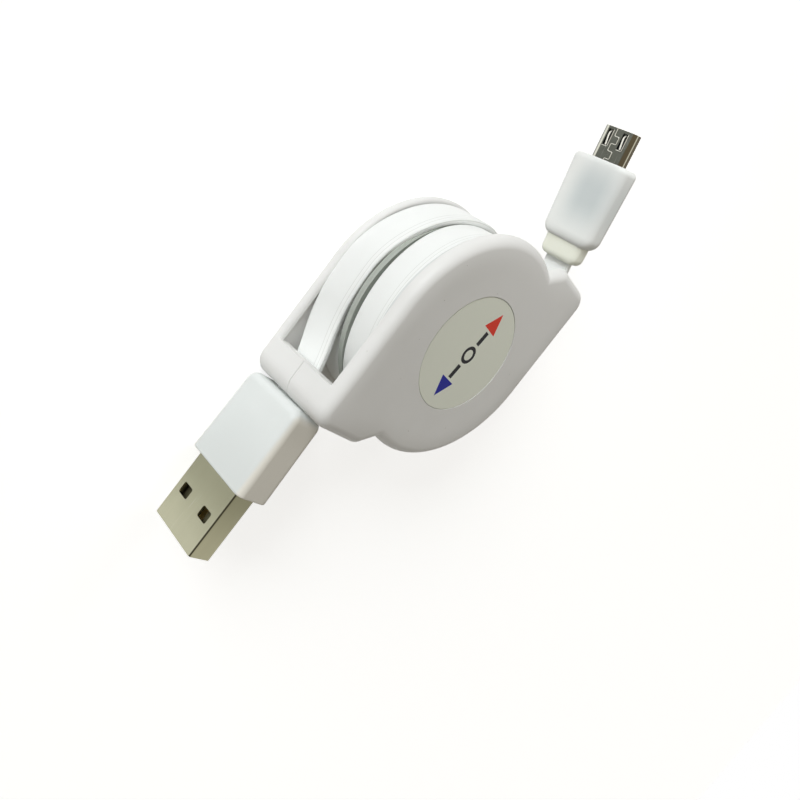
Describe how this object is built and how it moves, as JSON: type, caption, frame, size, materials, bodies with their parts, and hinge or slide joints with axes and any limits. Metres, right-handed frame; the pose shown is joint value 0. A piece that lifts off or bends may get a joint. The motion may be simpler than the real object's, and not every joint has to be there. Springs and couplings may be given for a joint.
{
  "type": "retractable charging cable",
  "caption": "Round reel in a two-part moulded housing that winds up a flat ribbon lead on each side: one ends in a large host plug, the other in a small device plug.",
  "frame": {"origin": "on the spool's axis, at the flat rear face that the reel lies on", "axes": "+Z along the spool's axis, from the rear cover to the labelled front cover; +X along the housing's straight edges, towards the small device plug"},
  "size_m": [0.0993, 0.041, 0.0191],
  "materials": {
    "housing_plastic": "satin",
    "label_plastic": "satin",
    "spool_plastic": "matte",
    "zinc_steel": "plated",
    "spring_steel": "blued",
    "ball_steel": "polished",
    "ribbon_jacket": "smooth",
    "plug_plastic": "satin",
    "collar_plastic": "translucent",
    "shell_steel": "nickel plated",
    "tongue_plastic": "matte",
    "insert_plastic": "matte",
    "contact_gold": "plated"
  },
  "bodies": {
    "housing": {"rear_cover": "housing_plastic", "front_cover": "housing_plastic", "label_disc": "label_plastic", "case_screw": "zinc_steel", "ratchet_ball": "ball_steel", "cable_lead_host": "ribbon_jacket", "cable_lead_device": "ribbon_jacket"},
    "reel": {"spool": "spool_plastic", "spring_cover": "spool_plastic", "mainspring": "spring_steel", "cable_winding_rear": "ribbon_jacket", "cable_winding_front": "ribbon_jacket"},
    "host_end": {"host_plug_overmould": "plug_plastic", "host_plug_shell": "shell_steel", "host_plug_tongue": "tongue_plastic", "host_plug_contacts": "contact_gold"},
    "device_end": {"device_plug_overmould": "plug_plastic", "device_plug_collar": "collar_plastic", "device_plug_shell": "shell_steel", "device_plug_tongue": "insert_plastic", "device_plug_contacts": "contact_gold", "device_plug_latches": "shell_steel"}
  },
  "joints": [
    {"name": "spool_spin", "type": "hinge", "parent": "housing", "child": "reel", "pos_m": [0, 0, 0], "axis": [0, 0, 1], "range_deg": [0, 1360], "stiffness_Nm_per_rad": 0.0007, "springref_deg": -1375.1, "deforming": ["mainspring"]},
    {"name": "host_plug_slide", "type": "slide", "parent": "housing", "child": "host_end", "axis": [-0.9993, 0.0297, 0.0227], "range_m": [0, 0.4]},
    {"name": "device_plug_slide", "type": "slide", "parent": "housing", "child": "device_end", "axis": [0.9242, 0.3819, 0], "range_m": [0, 0.4]}
  ],
  "couplings": [
    {"joint": "host_plug_slide", "follows": "spool_spin", "m_per_rad": 0.0168},
    {"joint": "device_plug_slide", "follows": "spool_spin", "m_per_rad": 0.0168}
  ]
}
